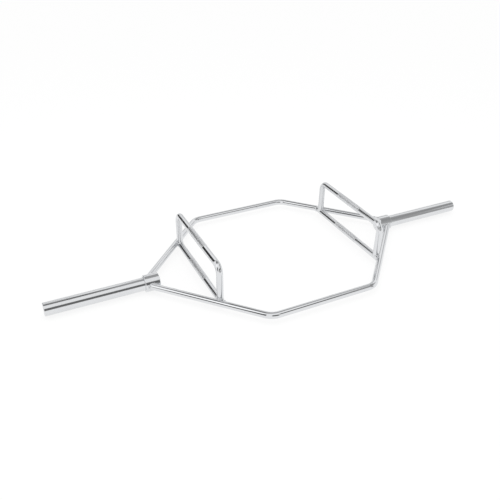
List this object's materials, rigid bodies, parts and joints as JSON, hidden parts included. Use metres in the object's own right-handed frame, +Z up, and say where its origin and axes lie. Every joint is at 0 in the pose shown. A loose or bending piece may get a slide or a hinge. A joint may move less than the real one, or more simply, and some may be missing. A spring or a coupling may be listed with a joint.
{
  "type": "hex trap bar",
  "caption": "Chromed hexagonal deadlift bar of bent round rod with low and raised knurled side handles and a plate sleeve at each end.",
  "frame": {"origin": "under the middle of the hexagon, on the plane that the two plate collars rest on", "axes": "+X along the sleeves to the right one, +Y from the front bar to the rear bar, +Z up to the raised handles"},
  "size_m": [1.83, 0.763, 0.1864],
  "materials": {
    "frame_chrome": "polished chrome plate on round steel bar",
    "sleeve_chrome": "chrome plate over fine turning marks",
    "grip_chrome": "chrome plate, diamond knurl in the middle",
    "weld_chrome": "chrome plate over a rippled weld seam"
  },
  "bodies": {
    "root": {"front_frame_bar": "frame_chrome", "rear_frame_bar": "frame_chrome", "left_sleeve": "sleeve_chrome", "left_plate_collar": "frame_chrome", "left_sleeve_weld": "weld_chrome", "left_sleeve_end_cap": "sleeve_chrome", "left_sleeve_inner_plug": "frame_chrome", "left_frame_welds": "weld_chrome", "left_low_handle": "grip_chrome", "left_low_handle_welds": "weld_chrome", "left_raised_handle": "grip_chrome", "left_raised_handle_welds": "weld_chrome", "right_sleeve": "sleeve_chrome", "right_plate_collar": "frame_chrome", "right_sleeve_weld": "weld_chrome", "right_sleeve_end_cap": "sleeve_chrome", "right_sleeve_inner_plug": "frame_chrome", "right_frame_welds": "weld_chrome", "right_low_handle": "grip_chrome", "right_low_handle_welds": "weld_chrome", "right_raised_handle": "grip_chrome", "right_raised_handle_welds": "weld_chrome"}
  },
  "joints": []
}
